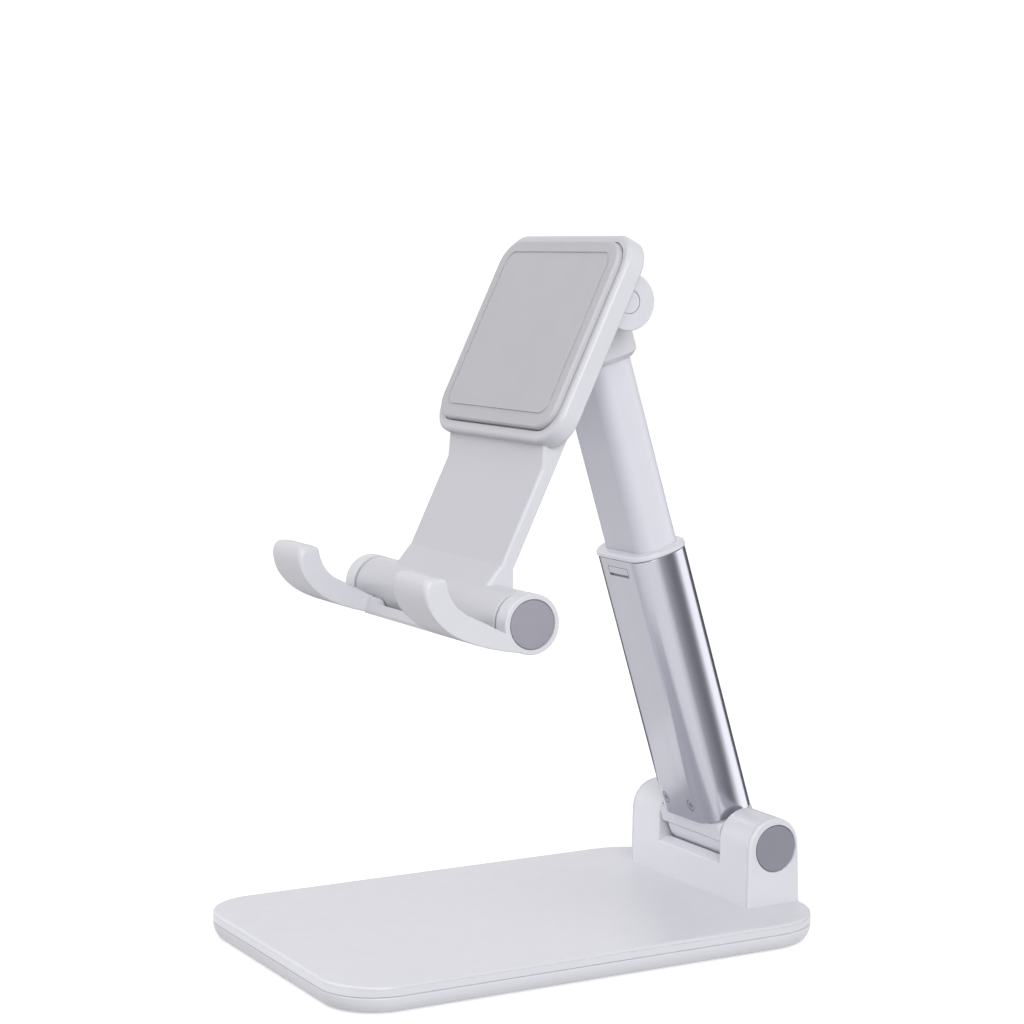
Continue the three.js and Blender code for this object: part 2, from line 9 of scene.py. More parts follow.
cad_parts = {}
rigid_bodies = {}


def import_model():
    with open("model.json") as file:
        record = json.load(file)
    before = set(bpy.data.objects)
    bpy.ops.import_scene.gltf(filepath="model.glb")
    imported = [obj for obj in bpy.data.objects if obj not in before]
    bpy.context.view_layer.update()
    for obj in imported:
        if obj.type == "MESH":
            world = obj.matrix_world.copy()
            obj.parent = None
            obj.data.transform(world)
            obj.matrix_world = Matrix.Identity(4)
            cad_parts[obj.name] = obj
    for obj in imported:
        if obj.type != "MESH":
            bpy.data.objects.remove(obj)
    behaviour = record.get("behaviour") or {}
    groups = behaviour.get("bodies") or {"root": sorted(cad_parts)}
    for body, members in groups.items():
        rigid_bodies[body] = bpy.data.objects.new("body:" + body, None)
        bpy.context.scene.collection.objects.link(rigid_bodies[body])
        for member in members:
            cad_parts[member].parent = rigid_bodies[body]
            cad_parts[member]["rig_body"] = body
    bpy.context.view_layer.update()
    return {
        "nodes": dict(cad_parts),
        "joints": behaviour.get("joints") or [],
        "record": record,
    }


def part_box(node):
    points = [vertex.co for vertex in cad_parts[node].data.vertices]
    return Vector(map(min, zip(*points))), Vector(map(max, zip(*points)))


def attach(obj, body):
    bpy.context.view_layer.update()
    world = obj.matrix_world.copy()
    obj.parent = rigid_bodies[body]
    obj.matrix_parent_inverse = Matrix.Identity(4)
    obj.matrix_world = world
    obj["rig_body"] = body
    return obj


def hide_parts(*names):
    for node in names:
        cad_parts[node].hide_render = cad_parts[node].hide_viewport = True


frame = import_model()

SCENE = bpy.context.scene
MM = 0.001
JOINTS = {joint["name"]: joint for joint in frame["joints"]}
MOUNTS = {mount["name"]: mount for mount in frame["record"]["mounts"]}

# ---------------------------------------------------------------- frames of the moving bodies
# Every local frame has X across and -Y forwards; lengths in it are millimetres.


def local_frame(origin, up):
    """The matrix from millimetres in a body's own frame to metres in the world."""
    up = Vector(up).normalized()
    across = Vector((1, 0, 0))
    back = up.cross(across)
    turn = Matrix((across, back, up)).transposed().to_4x4()
    return Matrix.Translation(Vector(origin)) @ turn @ Matrix.Scale(MM, 4)


WORLD = Matrix.Scale(MM, 4)
ARM = local_frame(JOINTS["base_tilt"]["pos_m"], JOINTS["arm_slide"]["axis"])
TRAY = local_frame(JOINTS["hook_fold"]["pos_m"], MOUNTS["phone_shelf_right"]["axis"])
HINGE = Matrix.Translation(Vector(JOINTS["base_tilt"]["pos_m"])) @ WORLD


def in_local(frame_matrix, point_m):
    return frame_matrix.inverted() @ Vector(point_m)


# ---------------------------------------------------------------- sizes, taken from the frame
low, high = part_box("base_top_shell")
BASE_WIDTH = (high.x - low.x) / MM
BASE_LENGTH = 113.0
BASE_CORNER, BASE_REAR_CORNER = 12.0, 14.5
BASE_TOP = 5.8
SHELL_SEAM = 3.6
HINGE_Y = JOINTS["base_tilt"]["pos_m"][1] / MM
HINGE_Z = JOINTS["base_tilt"]["pos_m"][2] / MM
TOWER_OUTER = 23.7
TOWER_INNER = 12.1
TOWER_RADIUS = 6.2
TOWER_DRAFT = 0.4
SADDLE_HALF = 13.2
TROUGH_RADIUS = 5.75  # the room for the knuckle between the towers
ARCH_Y, ARCH_Z = HINGE_Y - 0.35, HINGE_Z + 0.35
BORE = 2.2
TUBE = (21.6, 13.2, 5.0)
TUBE_WALL, SLIDE_WALL = 0.8, 1.2
TUBE_BOTTOM, TUBE_TOP, COLLAR_TOP = 5.1, 65.2, 66.5
TUBE_SHIFT = -0.4  # the outer tube sits a little in front of the inner one
KNUCKLE_BLOCK = (11.8, 5.7, 1.4)  # half width, half depth and lower edge
KNUCKLE_BARREL = (5.3, 10.6)  # radius and half length, as for the head's
HEAD_BARREL = (5.2, 10.8)
TAB_HALF, TAB_LOW, TAB_HIGH = 3.9, 61.4, 63.55
SCREW_X, SCREW_Z, SCREW_HOLE = 4.9, 9.0, 1.33
SLIDE = (18.4, 10.0, 3.9)
SLIDE_BOTTOM, SLIDE_TOP = 57.0, 111.4
HEAD_BOTTOM, HEAD_SHOULDER = 107.6, 113.0
TRAY_HINGE = in_local(TRAY, JOINTS["tray_tilt"]["pos_m"])
HEAD_AXIS = in_local(ARM, JOINTS["tray_tilt"]["pos_m"]).z
BARREL_RADIUS, BARREL_HALF = 5.85, 30.9
EAR_RADIUS, EAR_INNER, EAR_OUTER = 5.9, 12, 20.4
WEB_HALF = 20.3
HOOK_OUTER, HOOK_WIDTH, HOOK_EAR, HOOK_RING = 36.0, 14.3, 4.0, 5.95
SHELF = -3.7
HOOK_CURVE = ((12.8, SHELF), (16.4, SHELF), (18.6, -2.5), (20.5, -0.05))
CAP_RADIUS = {"base": 4.85, "hook": 4.75}
CAP_GAP = {"base": 0.26, "hook": 0.22}  # the dark rim round each cap: shade in the gap, over the cap's wider dark foot, which is painted shade
CAP_DEPTH = 1.2
ARC = 24  # steps in a quarter turn of a large curve


# ---------------------------------------------------------------- outlines and rounding
def rounded_rect(width, depth, corner, inset=0.0, steps=ARC, front=None):
    """A rectangle with round corners, as a ring of (u, v) points; the corners at low v may differ."""
    x, y = width / 2 - inset, depth / 2 - inset
    ring = []
    for quarter in range(4):
        radius = corner if front is None or quarter < 2 else front
        r = max(radius - inset, 0.05)
        cx = (x - r) * (1 if quarter in (0, 3) else -1)
        cy = (y - r) * (1 if quarter in (0, 1) else -1)
        for step in range(steps + 1):
            angle = (quarter + step / steps) * math.pi / 2
            ring.append((cx + r * math.cos(angle), cy + r * math.sin(angle)))
    return ring


def circle(radius, steps=4 * ARC, centre=(0.0, 0.0)):
    turn = 2 * math.pi / steps
    angles = [i * turn for i in range(steps)]
    return [(centre[0] + radius * math.cos(t), centre[1] + radius * math.sin(t)) for t in angles]


def bezier(p0, p1, p2, p3, steps):
    """Points along a cubic, without its last point."""
    points = []
    for i in range(steps):
        t = i / steps
        s = 1 - t
        weights = (s ** 3, 3 * s * s * t, 3 * s * t * t, t ** 3)
        points.append(tuple(sum(w * p[k] for w, p in zip(weights, (p0, p1, p2, p3))) for k in (0, 1)))
    return points


def shrink(ring, inset):
    """The ring moved inwards by inset along its own normals; the ring runs anticlockwise."""
    if not inset:
        return ring
    moved = []
    count = len(ring)
    for i, point in enumerate(ring):
        before, after = Vector(ring[i - 1]), Vector(ring[(i + 1) % count])
        here = Vector(point)
        a = (here - before).normalized()
        b = (after - here).normalized()
        normal = Vector((-(a + b).y, (a + b).x)).normalized()
        lean = max(0.5, normal.dot(Vector((-a.y, a.x))))
        moved.append(tuple(here + normal * inset / lean))
    return moved


def round_over(low_end, high_end, low_radius=0.0, high_radius=0.0, steps=5):
    """(height, inset) pairs for a prism whose two rims are rounded."""
    bottom = [
        (low_end + low_radius * (1 - math.cos(t)), low_radius * (1 - math.sin(t)))
        for t in (i / steps * math.pi / 2 for i in range(steps + 1))
    ]
    top = [
        (high_end - high_radius * (1 - math.cos(t)), high_radius * (1 - math.sin(t)))
        for t in (i / steps * math.pi / 2 for i in range(steps, -1, -1))
    ]
    if not low_radius:
        bottom = bottom[:1]
    if not high_radius:
        top = top[-1:]
    return bottom + top


# ---------------------------------------------------------------- solids
def add_object(name, data):
    obj = bpy.data.objects.new(name, data)
    SCENE.collection.objects.link(obj)
    return obj


def mesh_object(name, verts, faces):
    mesh = bpy.data.meshes.new(name)
    mesh.from_pydata(verts, [], faces)
    return add_object(name, mesh)


def solid(rings):
    """A closed object from rings of local points, capped at both ends."""
    count = len(rings[0])
    verts = [point for ring in rings for point in ring]
    faces = [list(range(count))[::-1], [len(verts) - count + i for i in range(count)]]
    for k in range(len(rings) - 1):
        for i in range(count):
            j = (i + 1) % count
            faces.append([k * count + i, k * count + j, (k + 1) * count + j, (k + 1) * count + i])
    return mesh_object("solid", verts, faces)


def upright(outline_at, levels):
    """Rings stacked along Z; outline_at(inset) gives each ring."""
    return solid([[(u, v, height) for u, v in outline_at(inset)] for height, inset in levels])


def crosswise(outline_at, levels):
    """Rings stacked along X, their outlines given as (y, z)."""
    return solid([[(height, u, v) for u, v in outline_at(inset)] for height, inset in levels])


def facing(outline_at, levels, centre_z=0.0):
    """Rings stacked from the back (+Y) to the front (-Y), their outlines given as (x, z)."""
    return solid([[(u, -height, v + centre_z) for u, v in outline_at(inset)] for height, inset in levels])


def bar(radius, x0, x1, centre=(0.0, 0.0), rim=0.0):
    """A round bar along X with rounded rims."""
    return crosswise(lambda inset: circle(radius - inset, centre=centre), round_over(x0, x1, rim, rim, 3))


def box(x0, x1, y0, y1, z0, z1):
    return solid([[(x0, y0, z), (x1, y0, z), (x1, y1, z), (x0, y1, z)] for z in (z0, z1)])


def mirrored(obj):
    twin = add_object("solid", obj.data.copy())
    twin.data.transform(Matrix.Scale(-1, 4, (1, 0, 0)))
    twin.data.flip_normals()
    return twin


def bake(obj):
    """Makes the modifiers' result the object's own mesh."""
    graph = bpy.context.evaluated_depsgraph_get()
    mesh = bpy.data.meshes.new_from_object(obj.evaluated_get(graph))
    obj.modifiers.clear()
    obj.data = mesh
    return obj


def combine(obj, others, operation):
    for other in others:
        change = obj.modifiers.new("boolean", "BOOLEAN")
        change.operation = operation
        change.solver = "EXACT"
        change.object = other
        bake(obj)
        bpy.data.objects.remove(other)
    return obj


def join(obj, *others):
    return combine(obj, others, "UNION")


def cut(obj, *others):
    return combine(obj, others, "DIFFERENCE")


def both_sides(make):
    right = make()
    return [right, mirrored(right)]


# ---------------------------------------------------------------- materials
def shader(name):
    """A node material, with its tree and its main shader."""
    material = bpy.data.materials.new(name)
    material.use_nodes = True
    tree = material.node_tree
    return material, tree, tree.nodes["Principled BSDF"]


def node(tree, kind, **settings):
    made = tree.nodes.new(kind)
    for key, value in settings.items():
        if key in made.inputs:
            made.inputs[key].default_value = value
        else:
            setattr(made, key, value)
    return made


def texture_space(tree, stretch=(1, 1, 1), lean=0.0):
    """Object coordinates in millimetres, stretched along each axis of a frame that leans about X."""
    place = node(tree, "ShaderNodeTexCoord")
    upright_again = node(tree, "ShaderNodeVectorRotate", rotation_type="X_AXIS", Angle=-lean)
    tree.links.new(place.outputs["Object"], upright_again.inputs["Vector"])
    mapping = node(tree, "ShaderNodeMapping")
    mapping.inputs["Scale"].default_value = [1000 * s for s in stretch]
    tree.links.new(upright_again.outputs["Vector"], mapping.inputs["Vector"])
    return mapping.outputs["Vector"]


def noise(tree, vector, scale, detail=3.0):
    made = node(tree, "ShaderNodeTexNoise", Scale=scale, Detail=detail)
    tree.links.new(vector, made.inputs["Vector"])
    return made.outputs["Fac"]


def map_range(tree, value, source, target):
    """Maps a value from one (low, high) range to another, and holds it at the ends."""
    made = node(tree, "ShaderNodeMapRange")
    for socket, limit in zip(("From Min", "From Max", "To Min", "To Max"), (*source, *target)):
        made.inputs[socket].default_value = limit
    tree.links.new(value, made.inputs["Value"])
    return made.outputs["Result"]


def spread(tree, value, low_out, high_out):
    """Maps a noise value's usual range to low_out..high_out."""
    return map_range(tree, value, (0.3, 0.7), (low_out, high_out))


def tint(tree, value, dark, light):
    mix = node(tree, "ShaderNodeMix", data_type="RGBA")
    mix.inputs[6].default_value = (*dark, 1)
    mix.inputs[7].default_value = (*light, 1)
    tree.links.new(value, mix.inputs["Factor"])
    return mix.outputs[2]


def bump(tree, height, strength, distance_mm):
    made = node(tree, "ShaderNodeBump", Strength=strength, Distance=distance_mm * MM)
    tree.links.new(height, made.inputs["Height"])
    return made.outputs["Normal"]


def surface(name, colour, roughness, grain, stretch=(1, 1, 1), lean=0.0, metallic=0.0, variation=0.02):
    """A finish: its colour drifts a little, its gloss varies, and a fine grain breaks up the surface.
    roughness = (low, high); grain = (noise scale per mm, height in mm)."""
    material, tree, principled = shader(name)
    vector = texture_space(tree, stretch, lean)
    drift = noise(tree, vector, 0.05)
    dark = [c * (1 - variation) for c in colour]
    light = [min(1.0, c * (1 + variation)) for c in colour]
    tree.links.new(tint(tree, spread(tree, drift, 0, 1), dark, light), principled.inputs["Base Color"])
    tree.links.new(spread(tree, noise(tree, vector, 0.3, 5.0), *roughness), principled.inputs["Roughness"])
    tree.links.new(bump(tree, noise(tree, vector, grain[0], 2.0), 1.0, grain[1]), principled.inputs["Normal"])
    principled.inputs["Metallic"].default_value = metallic
    return material


ARM_LEAN = math.atan2(-JOINTS["arm_slide"]["axis"][1], JOINTS["arm_slide"]["axis"][2])
WHITE = surface("white_moulding", (0.59, 0.59, 0.635), (0.28, 0.36), (9.0, 0.0003), variation=0.006)
TUBE_WHITE = surface("white_satin_paint", (0.60, 0.60, 0.66), (0.32, 0.42), (7.0, 0.0008), variation=0.01)
ALUMINIUM = surface(
    "satin_aluminium",
    (0.465, 0.467, 0.52),
    (0.17, 0.24),
    (3.0, 0.0012),
    stretch=(1, 1, 0.02),
    lean=ARM_LEAN,
    metallic=1.0,
)
GREY = surface("grey_cap", (0.27, 0.265, 0.31), (0.42, 0.52), (6.0, 0.003))
DARK_GREY = surface("dark_grey_cap", (0.205, 0.205, 0.245), (0.42, 0.52), (6.0, 0.003))
SILICONE = surface("grey_silicone", (0.50, 0.50, 0.53), (0.6, 0.75), (4.0, 0.008))
NYLON = surface("nylon", (0.62, 0.61, 0.57), (0.45, 0.6), (4.0, 0.003))
STEEL = surface(
    "bright_steel", (0.62, 0.62, 0.64), (0.25, 0.4), (4.0, 0.001), stretch=(0.05, 1, 1), metallic=1.0
)
SCREW_STEEL = surface("screw_steel", (0.40, 0.40, 0.45), (0.3, 0.42), (4.0, 0.002), metallic=1.0)


# ---------------------------------------------------------------- finishing a piece
def finish(name, obj, place, body, material, nodes=None, bevel=0.15, angle=35.0):
    """Rounds what is still sharp, moves the piece into place and ties it to the frame."""
    obj.name = name + "_fine"
    obj.data.materials.clear()
    obj.data.materials.append(material)
    if bevel:
        edge = obj.modifiers.new("bevel", "BEVEL")
        edge.width = bevel
        edge.segments = 3
        edge.limit_method = "ANGLE"
        edge.angle_limit = math.radians(angle)
        edge.miter_outer = "MITER_ARC"
        bake(obj)
    obj.data.transform(place)
    obj.data.shade_smooth()
    obj.data.set_sharp_from_angle(angle=math.radians(50))
    weighted = obj.modifiers.new("normals", "WEIGHTED_NORMAL")
    weighted.keep_sharp = True
    bake(obj)
    obj.data.name = obj.name
    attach(obj, body)
    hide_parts(*(nodes or [name]))
    return obj


def refine(name, material, bevel=0.08):
    """A small CAD piece with its edges rounded and its flat faces made whole."""
    source = frame["nodes"][name]
    obj = add_object(name, source.data.copy())
    obj.data.transform(WORLD.inverted())
    weld = obj.modifiers.new("weld", "WELD")
    weld.merge_threshold = 0.002
    flat = obj.modifiers.new("flat", "DECIMATE")
    flat.decimate_type = "DISSOLVE"
    flat.angle_limit = math.radians(1.0)
    bake(obj)
    return finish(name, obj, WORLD, source["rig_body"], material, bevel=bevel)


# ---------------------------------------------------------------- base
def base_outline(inset):
    return rounded_rect(BASE_WIDTH, BASE_LENGTH, BASE_REAR_CORNER, inset, front=BASE_CORNER)


def tower_outline(inset):
    foot = TOWER_RADIUS + TOWER_DRAFT
    ring = [(ARCH_Y - foot, SHELL_SEAM + 0.6), (ARCH_Y + foot, SHELL_SEAM + 0.6)]
    for i in range(2 * ARC + 1):
        angle = i / (2 * ARC) * math.pi
        ring.append((ARCH_Y + TOWER_RADIUS * math.cos(angle), ARCH_Z + TOWER_RADIUS * math.sin(angle)))
    return shrink(ring, inset)


def saddle_outline(inset):
    front = ARCH_Y - TOWER_RADIUS - TOWER_DRAFT
    back = ARCH_Y + TOWER_RADIUS
    ring = [
        (front + 0.02, SHELL_SEAM + 0.6),
        (back, SHELL_SEAM + 0.6),
        (back, HINGE_Z - 7.8),
        (HINGE_Y + 1, HINGE_Z - 7.8),
        (HINGE_Y - 2, HINGE_Z - 4),
        (front + 2.3, HINGE_Z - 4),
        (front + 0.55, 12.9),
        (front + 0.25, 12.6),
    ]
    return shrink(ring, inset)


def base_top_shell():
    rim = 0.55
    line = BASE_TOP - rim - 0.05
    levels = [
        (SHELL_SEAM - 0.8, 2.4),
        (SHELL_SEAM + 0.02, 2.4),
        (SHELL_SEAM + 0.02, 0.13),
        (SHELL_SEAM + 0.13, 0.02),
        (line - 0.16, 0.0),
        (line - 0.07, 0.13),
        (line, 0.13),
    ]
    levels += [(z, i + 0.02) for z, i in round_over(BASE_TOP - rim, BASE_TOP, 0, rim, 7)[1:]]
    plate = upright(base_outline, levels)
    towers = both_sides(lambda: crosswise(tower_outline, round_over(TOWER_INNER, TOWER_OUTER, 0.35, 0.6, 5)))
    saddle = crosswise(saddle_outline, [(-SADDLE_HALF, 0), (SADDLE_HALF, 0)])
    centre = (HINGE_Y, HINGE_Z)
    shell = join(plate, *towers, saddle)
    recess_radius = CAP_RADIUS["base"] + CAP_GAP["base"]
    recesses = both_sides(lambda: bar(recess_radius, TOWER_OUTER - CAP_DEPTH, TOWER_OUTER + 2, centre))
    pockets = both_sides(lambda: bar(4.1, 18.6, TOWER_OUTER, centre))  # for the bolt's head and nut
    trough = bar(TROUGH_RADIUS, -TOWER_INNER, TOWER_INNER, centre)

    def cover_line():
        """The fine line where each tower's outer cover meets the tower."""
        low, high = TOWER_OUTER - 0.95, TOWER_OUTER - 0.8
        hoop = crosswise(lambda inset: tower_outline(inset - 1), [(low, 0), (high, 0)])
        core = crosswise(lambda inset: tower_outline(inset + 0.12), [(low - 1, 0), (high + 1, 0)])
        return cut(hoop, core, box(20, 25, 0, 90, 0, BASE_TOP + 0.05))

    cut(shell, trough, *recesses, *pockets, *both_sides(cover_line), bar(BORE, -30, 30, centre))
    finish("base_top_shell", shell, WORLD, "base", WHITE)


def base_bottom_tray():
    rise = SHELL_SEAM - 0.65
    taper = [(0.5 + rise * t, 1.1 * (1 - t) ** 2.2) for t in (i / 10 for i in range(11))]
    levels = [(1.3, 3.2), (0.55, 3.2), (0.4, 3.05), (0.4, 1.35)] + taper
    levels += [(SHELL_SEAM - 0.02, 0.13), (SHELL_SEAM - 0.02, 2.0), (2.5, 2.0)]
    finish("base_bottom_tray", upright(base_outline, levels), WORLD, "base", WHITE, bevel=0)


def base_mat():
    mat = upright(lambda inset: base_outline(3.5 + inset), round_over(0, 1, 0.3, 0.1))
    finish("base_anti_slip_mat", mat, WORLD, "base", SILICONE, bevel=0)


def hinge_cap(name, radius, outer_face, place, body, material):
    """A round cap with a softly domed face, on a slightly wider foot that fills the gap round it; the foot's
    dark grey on the gap's floor is painted shade.
    """
    edge = outer_face - 0.12
    # the first two levels are the wider foot: dark cap plastic on the floor of the gap, as painted shade
    levels = [(outer_face - 1, -0.2), (outer_face - 0.4, -0.2), (outer_face - 0.4, 0)]
    levels += round_over(outer_face - 0.4, edge, 0, 0.1, 4)[1:]
    levels += [(edge + 0.1 * math.sin(t * math.pi / 2), 0.1 + t * (radius - 0.4)) for t in (0.3, 0.6, 0.9)]
    right = crosswise(lambda inset: circle(radius - inset), levels)
    left = mirrored(right)
    finish(name + "_right", right, place, body, material, bevel=0)
    finish(name + "_left", left, place, body, material, bevel=0)


# ---------------------------------------------------------------- arm
def crowned_rect(width, depth, corner, inset=0.0, crown=7.0, steps=ARC):
    """A rectangle with round corners whose two narrow sides are shallow arcs, as (u, v) points."""
    lean = math.radians(crown)
    side = corner + (depth / 2 - corner) / math.sin(lean)
    cx = width / 2 - side + (side - corner) * math.cos(lean)
    cy = depth / 2 - corner
    quarter = [(width / 2 - side, 0.0, side - inset, lean * i / 6) for i in range(6)]
    quarter += [(cx, cy, corner - inset, lean + (math.pi / 2 - lean) * i / steps) for i in range(steps + 1)]
    points = [(u + r * math.cos(t), v + r * math.sin(t)) for u, v, r, t in quarter]
    back = [(-u, v) for u, v in points[::-1]]
    front = [(-u, -v) for u, v in (points + back)[1:-1]]
    return points + back + front


def tube_outline(size, grow=0.0):
    return lambda inset: crowned_rect(*size, inset - grow)


def pipe(size, wall, z0, z1, rim=0.12):
    """A hollow tube; the rings run up the outside and down the inside."""
    outside = round_over(z0, z1, rim, rim, 3)
    inside = [(z, wall) for z in (z1, z0)]
    rings = [[(u, v, z) for u, v in crowned_rect(*size, inset)] for z, inset in outside + inside]
    count = len(rings[0])
    verts = [p for ring in rings for p in ring]
    faces = []
    for k in range(len(rings)):
        n = (k + 1) % len(rings)
        for i in range(count):
            j = (i + 1) % count
            faces.append([k * count + i, k * count + j, n * count + j, n * count + i])
    return mesh_object("pipe", verts, faces)


def peg(radius, depth, x, z, front=-7.6):
    """A short round bar along Y, for holes in the tube's front."""
    ring = circle(radius, 40)
    return solid([[(x + u, y, z + v) for u, v in ring[::-1]] for y in (front, front + depth)])


def knuckle():
    width, depth, low_edge = KNUCKLE_BLOCK
    top = TUBE_BOTTOM - 0.25
    side = [(-depth, low_edge), (depth, low_edge), (depth, top), (-depth, top)]
    block = crosswise(lambda inset: shrink(side, inset), round_over(-width, width, 0.25, 0.25, 3))
    cut(block, *both_sides(lambda: bar(4.9, 10.6, 13)))
    rounded = upright(lambda inset: rounded_rect(2 * width + 4, 2 * depth, 5.2, front=0.3), [(0, 0), (8, 0)])
    rounded.data.transform(Matrix.Scale(width / (width + 2), 4, (1, 0, 0)))
    combine(block, [rounded], "INTERSECT")
    radius, half = KNUCKLE_BARREL
    barrel = bar(radius, -half, half, rim=0.5)
    above = box(-20, 20, -20, 20, top - 0.05, 12)
    plug = upright(tube_outline(TUBE, -1.1), [(2, 0), (TUBE_BOTTOM + 5.4, 0)])
    plug.data.transform(Matrix.Translation((0, TUBE_SHIFT, 0)))
    body = join(block, cut(barrel, above), plug)
    shadow_line = box(-20, 20, -7, -4.7, low_edge - 0.55, low_edge)
    cut(body, shadow_line, bar(BORE, -20, 20))
    finish("lower_knuckle", body, ARM, "lower_arm", WHITE, bevel=0.2)


def lower_tube():
    tube = pipe(TUBE, TUBE_WALL, TUBE_BOTTOM, TUBE_TOP)
    front = -TUBE[1] / 2
    cuts = [peg(SCREW_HOLE, 3, x, SCREW_Z) for x in (SCREW_X, -SCREW_X)]
    cuts.append(box(-TAB_HALF, TAB_HALF, front - 1, front + 2, TAB_LOW, TAB_LOW + 0.6))
    line = 0.15
    cuts.append(box(-TAB_HALF, TAB_HALF, front - 1, front + line, TAB_HIGH - line, TAB_HIGH))
    for x in (-TAB_HALF + line / 2, TAB_HALF - line / 2):
        cuts.append(box(x - line / 2, x + line / 2, front - 1, front + line, TAB_LOW, TAB_HIGH))
    cut(tube, *cuts)
    tube.data.transform(Matrix.Translation((0, TUBE_SHIFT, 0)))
    finish("lower_tube", tube, ARM, "lower_arm", ALUMINIUM, bevel=0.06)


def collar():
    """A rounded bead on the end of the outer tube that guides the inner one."""
    proud = 0.2
    levels = [(z, inset - proud) for z, inset in round_over(TUBE_TOP + 0.08, COLLAR_TOP, 0.25, 0.6, 6)]
    ring = upright(tube_outline(TUBE), levels)
    skirt = upright(tube_outline(TUBE, -1.0), [(61, 0), (TUBE_TOP + 0.3, 0)])
    ring.data.transform(Matrix.Translation((0, TUBE_SHIFT, 0)))
    skirt.data.transform(Matrix.Translation((0, TUBE_SHIFT, 0)))
    cut(skirt, box(-20, 20, 3.5, 20, 60, TUBE_TOP + 0.2))
    hole = upright(tube_outline(SLIDE, 0.05), [(60, 0), (COLLAR_TOP + 1, 0)])
    finish("lower_tube_collar", cut(join(ring, skirt), hole), ARM, "lower_arm", WHITE, bevel=0)


def sliding_tube():
    tube = pipe(SLIDE, SLIDE_WALL, SLIDE_BOTTOM, SLIDE_TOP)
    finish("sliding_tube", tube, ARM, "upper_arm", TUBE_WHITE, bevel=0)


def arm_head():
    width, depth, corner = TUBE
    rings = []
    for z, inset in [(HEAD_BOTTOM, 1.0), (HEAD_BOTTOM + 1.0, 0.0), (HEAD_SHOULDER, 0.0)]:
        rings.append([(u, v, z) for u, v in crowned_rect(width, depth, corner, inset)])
    for i in range(1, 9):
        t = i / 8
        ease = t * t * (3 - 2 * t)
        z = HEAD_SHOULDER + (HEAD_AXIS - 2 - HEAD_SHOULDER) * t
        section = crowned_rect(width - 0.2 * ease, depth - 3.2 * ease, corner - 0.5 * ease)
        rings.append([(u, v, z) for u, v in section])
    shell = solid(rings)
    radius, half = HEAD_BARREL
    barrel = bar(radius, -half, half, centre=(0, HEAD_AXIS), rim=0.3)
    body = join(shell, barrel)
    socket = upright(tube_outline(SLIDE, 0.15), [(HEAD_BOTTOM - 1, 0), (SLIDE_TOP + 0.3, 0)])
    cut(body, socket, bar(BORE, -20, 20, centre=(0, HEAD_AXIS)))
    finish("arm_head", body, ARM, "upper_arm", WHITE)


# ---------------------------------------------------------------- tray
def slab(width, low_z, high_z, corner, levels):
    """A rectangle with round corners, facing forwards between two heights."""
    height, middle = high_z - low_z, (low_z + high_z) / 2
    return facing(lambda inset: rounded_rect(width, height, corner, inset), levels, centre_z=middle)


def sideways(points):
    """An outline given as (forward, up) turned into (y, z), anticlockwise."""
    ring = [(-forward, up) for forward, up in points]
    area = sum(ring[i - 1][0] * ring[i][1] - ring[i][0] * ring[i - 1][1] for i in range(len(ring)))
    return ring if area > 0 else ring[::-1]


def side_block(points, x0, x1, radius):
    """A block across the tray from its side outline as (forward, up), its two ends rounded."""
    return crosswise(lambda inset: shrink(sideways(points), inset), round_over(x0, x1, radius, radius, 4))


def tray_plate():
    y, z = TRAY_HINGE.y, TRAY_HINGE.z
    barrel = bar(BARREL_RADIUS, -BARREL_HALF, BARREL_HALF, rim=0.3)
    web = side_block([(-0.4, 3), (2.6, 3), (2.6, 40.5), (-0.4, 40.5)], -WEB_HALF, WEB_HALF, 0.7)
    plate = slab(52, 34.5, 80, 7, round_over(1.8, 6.2, 0.9, 0.9, 5))
    fillet = side_block([(-0.4, 30), (2.6, 30), (5.6, 38), (-0.4, 42.5)], -WEB_HALF, WEB_HALF, 0.7)
    root = side_block([(-3.4, 3.4), (4.3, 3.4), (2.7, 9.5), (-0.5, 9.5)], -WEB_HALF, WEB_HALF, 0.7)

    def ear():
        disc = bar(EAR_RADIUS, EAR_INNER, EAR_OUTER, centre=(y, z), rim=0.4)
        brace_points = [(-y, z - EAR_RADIUS), (3, z - 9.9), (3, z + 7.9), (-y, z + EAR_RADIUS)]
        return join(disc, side_block(brace_points, EAR_INNER, EAR_OUTER, 0.4))

    body = join(plate, fillet, web, barrel, root, *both_sides(ear))
    arm_room = box(-12, 12, -4.5, 12, 37, 81)
    recess = slab(48.6, 36.7, 78.3, 5.8, [(5.7, 0), (9, 0)])
    plugs = both_sides(lambda: bar(2.46, 18.3, 22, centre=(y, z)))
    cut(body, arm_room, recess, bar(BORE, -40, 40), bar(BORE, -40, 40, centre=(y, z)), *plugs)
    finish("tray_plate", body, TRAY, "tray", WHITE, bevel=0.25)


def rest_pad():
    pad = slab(48, 37, 78, 5.5, round_over(6, 7.4, 0.1, 0.5, 5))
    groove = cut(
        slab(43, 39.5, 75.5, 3.2, [(7.15, 0), (9, 0)]), slab(41.6, 40.2, 74.8, 2.6, [(7, 0), (10, 0)])
    )
    finish("tray_rest_pad", cut(pad, groove), TRAY, "tray", SILICONE, bevel=0.12)


# ---------------------------------------------------------------- hooks
def hook_points():
    """The hook's side outline as (forward, up), from its root under the barrel round to the root again."""
    points = bezier((0.0, -HOOK_RING), (4, -7.2), (8.5, -8.4), (13.5, -8.4), 14)
    points += bezier((13.5, -8.4), (19.5, -8.4), (23.6, -5.2), (24.5, -2.6), 18)
    points += bezier((24.5, -2.6), (25.0, -1.1), (24.4, -0.3), (23.4, 0.1), 10)
    points += bezier((23.4, 0.1), (22.9, 0.3), (22.4, 0.48), (21.9, 0.65), 3)
    points += bezier((21.9, 0.65), (21.3, 0.85), (20.9, 0.5), (20.5, -0.05), 8)
    points += bezier(*HOOK_CURVE[::-1], 20)
    return points + [HOOK_CURVE[0]]


